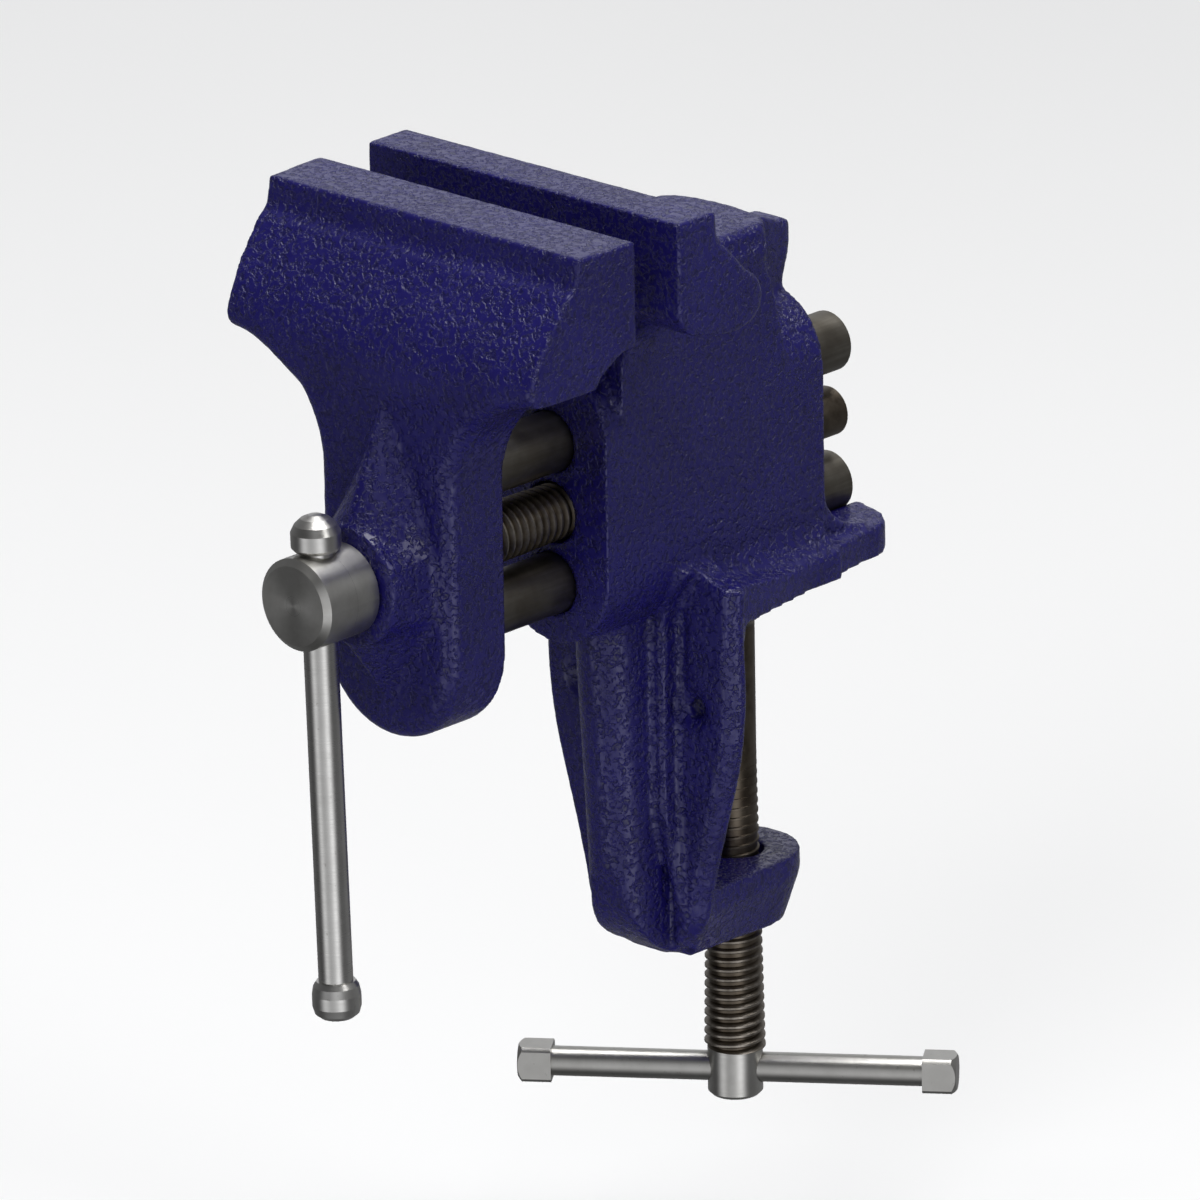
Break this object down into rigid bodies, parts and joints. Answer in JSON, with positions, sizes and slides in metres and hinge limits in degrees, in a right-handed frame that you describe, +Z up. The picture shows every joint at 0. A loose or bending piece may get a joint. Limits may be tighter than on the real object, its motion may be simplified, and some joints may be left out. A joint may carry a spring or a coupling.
{
  "type": "bench vise",
  "caption": "Clamp-on bench vise with a sliding front jaw on guide rods, small anvil, screw-hole clamp frame and tommy-bar screws.",
  "frame": {"origin": "where the clamp screw's axis meets the flat underside of the bench shelf", "axes": "+X to the vise's right hand seen from its front, +Y towards the bench and away from the moving jaw, +Z up"},
  "size_m": [0.0764, 0.1431, 0.1871],
  "materials": {
    "casting_paint": "glossy hammertone enamel on cast iron",
    "dark_steel": "oiled bar stock, dull",
    "spindle_steel": "turned head, oiled rolled thread",
    "bright_steel": "turned, satin"
  },
  "bodies": {
    "fixed_body": {"fixed_body": "casting_paint"},
    "front_jaw": {"front_jaw": "casting_paint", "upper_guide_rod": "dark_steel", "lower_guide_rod": "dark_steel", "upper_rod_pin": "dark_steel", "lower_rod_pin": "dark_steel"},
    "main_screw": {"main_screw": "spindle_steel", "screw_washer": "dark_steel", "screw_clip": "dark_steel"},
    "handle": {"handle_bar": "bright_steel", "handle_upper_knob": "bright_steel", "handle_lower_knob": "bright_steel"},
    "clamp_pad": {"swivel_pad": "dark_steel", "pad_ring": "dark_steel"},
    "clamp_screw": {"clamp_screw": "spindle_steel"},
    "clamp_bar": {"clamp_bar": "bright_steel"}
  },
  "joints": [
    {"name": "jaw_slide", "type": "slide", "parent": "fixed_body", "child": "front_jaw", "axis": [0, 1, 0], "range_m": [-0.0521, 0.0113]},
    {"name": "main_screw_turn", "type": "hinge", "parent": "front_jaw", "child": "main_screw", "pos_m": [0, -0.1, 0.0238], "axis": [0, 1, 0], "range_deg": [-10310, 2220]},
    {"name": "handle_slide", "type": "slide", "parent": "main_screw", "child": "handle", "axis": [-0.0314, 0, 0.9995], "range_m": [0, 0.0624]},
    {"name": "clamp_pad_slide", "type": "slide", "parent": "fixed_body", "child": "clamp_pad", "axis": [0, 0, 1], "range_m": [-0.0439, 0.002]},
    {"name": "clamp_screw_turn", "type": "hinge", "parent": "clamp_pad", "child": "clamp_screw", "pos_m": [0, 0, -0.0053], "axis": [0, 0, 1], "range_deg": [-8700, 395]},
    {"name": "clamp_bar_slide", "type": "slide", "parent": "clamp_screw", "child": "clamp_bar", "axis": [0.8131, 0.5821, 0], "range_m": [-0.0287, 0.0277]}
  ],
  "couplings": [
    {"joint": "jaw_slide", "follows": "main_screw_turn", "m_per_rad": 0.00028871},
    {"joint": "clamp_pad_slide", "follows": "clamp_screw_turn", "m_per_rad": 0.00028871}
  ]
}
